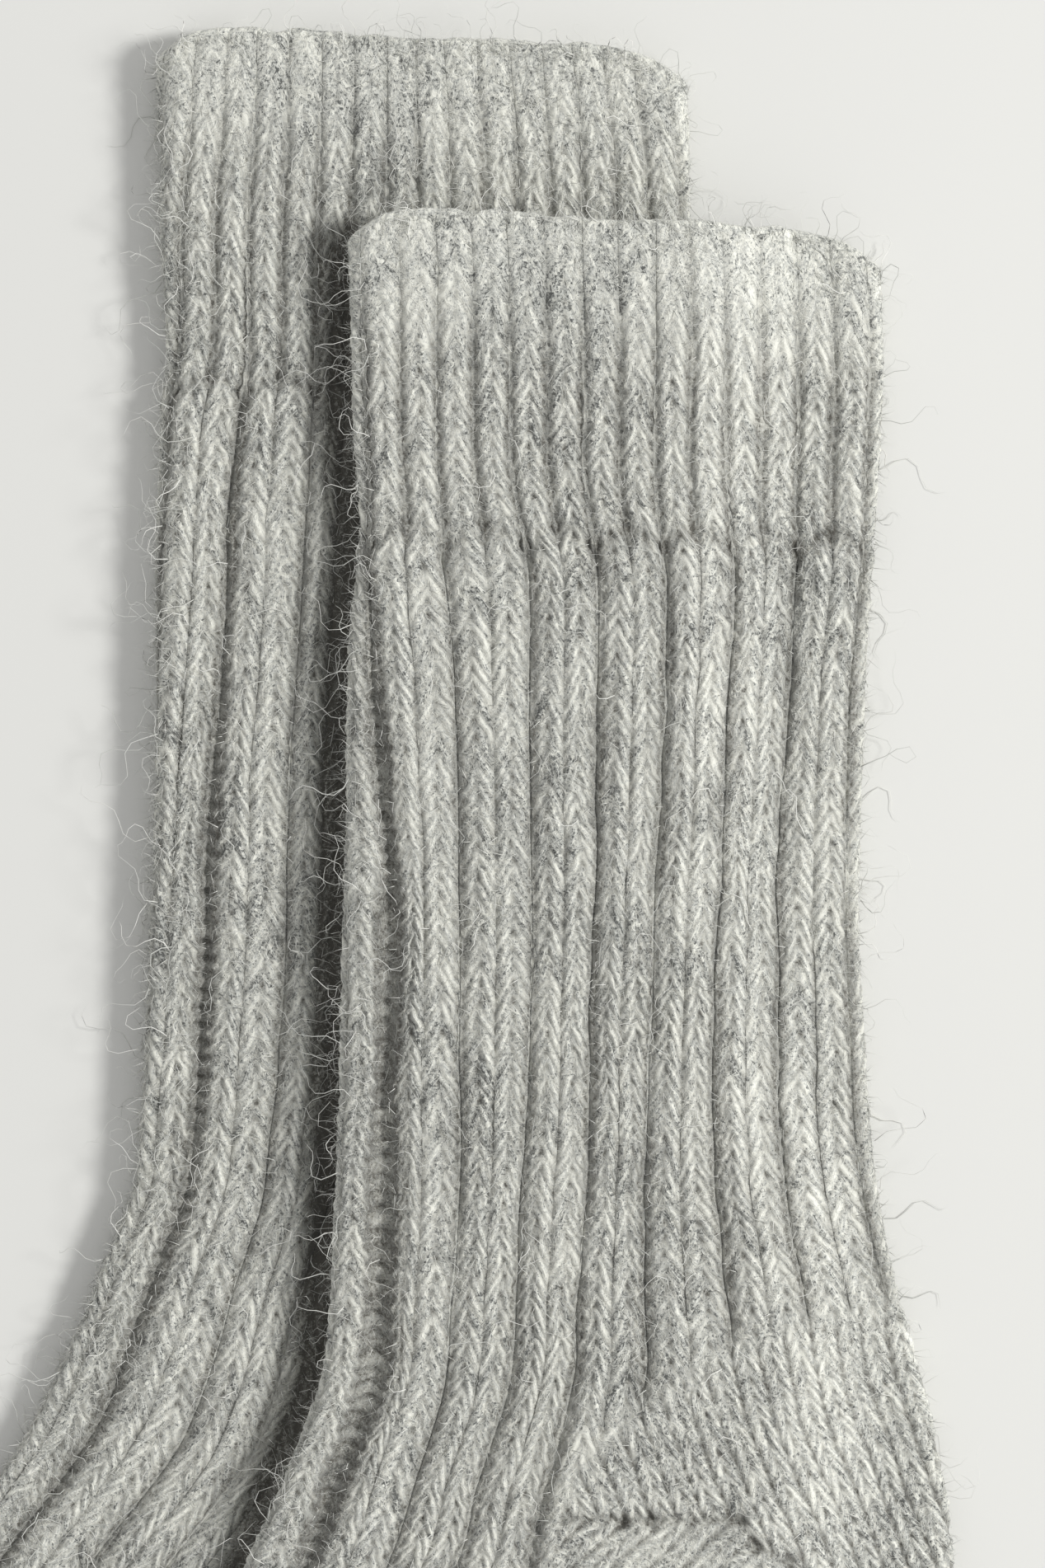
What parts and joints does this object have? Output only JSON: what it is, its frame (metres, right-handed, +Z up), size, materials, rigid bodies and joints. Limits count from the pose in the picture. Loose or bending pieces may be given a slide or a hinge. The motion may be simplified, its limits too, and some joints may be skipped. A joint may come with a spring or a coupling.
{
  "type": "pair of ribbed wool socks",
  "caption": "Pair of grey heathered wool socks with ribbed cuffs and legs and plain heels, lying flat with one sock over the other.",
  "frame": {"origin": "on the resting surface, under the middle of the pair's box", "axes": "+X across the legs from the shin side to the calf side, +Y up the legs towards the cuffs, +Z up from the surface"},
  "size_m": [0.2368, 0.4202, 0.0158],
  "materials": {
    "wool_front": "fuzzy heathered grey wool knit, ribbed",
    "wool_rear": "fuzzy heathered grey wool knit, ribbed"
  },
  "bodies": {
    "root": {"sock_front": "wool_front", "sock_rear": "wool_rear"}
  },
  "joints": []
}
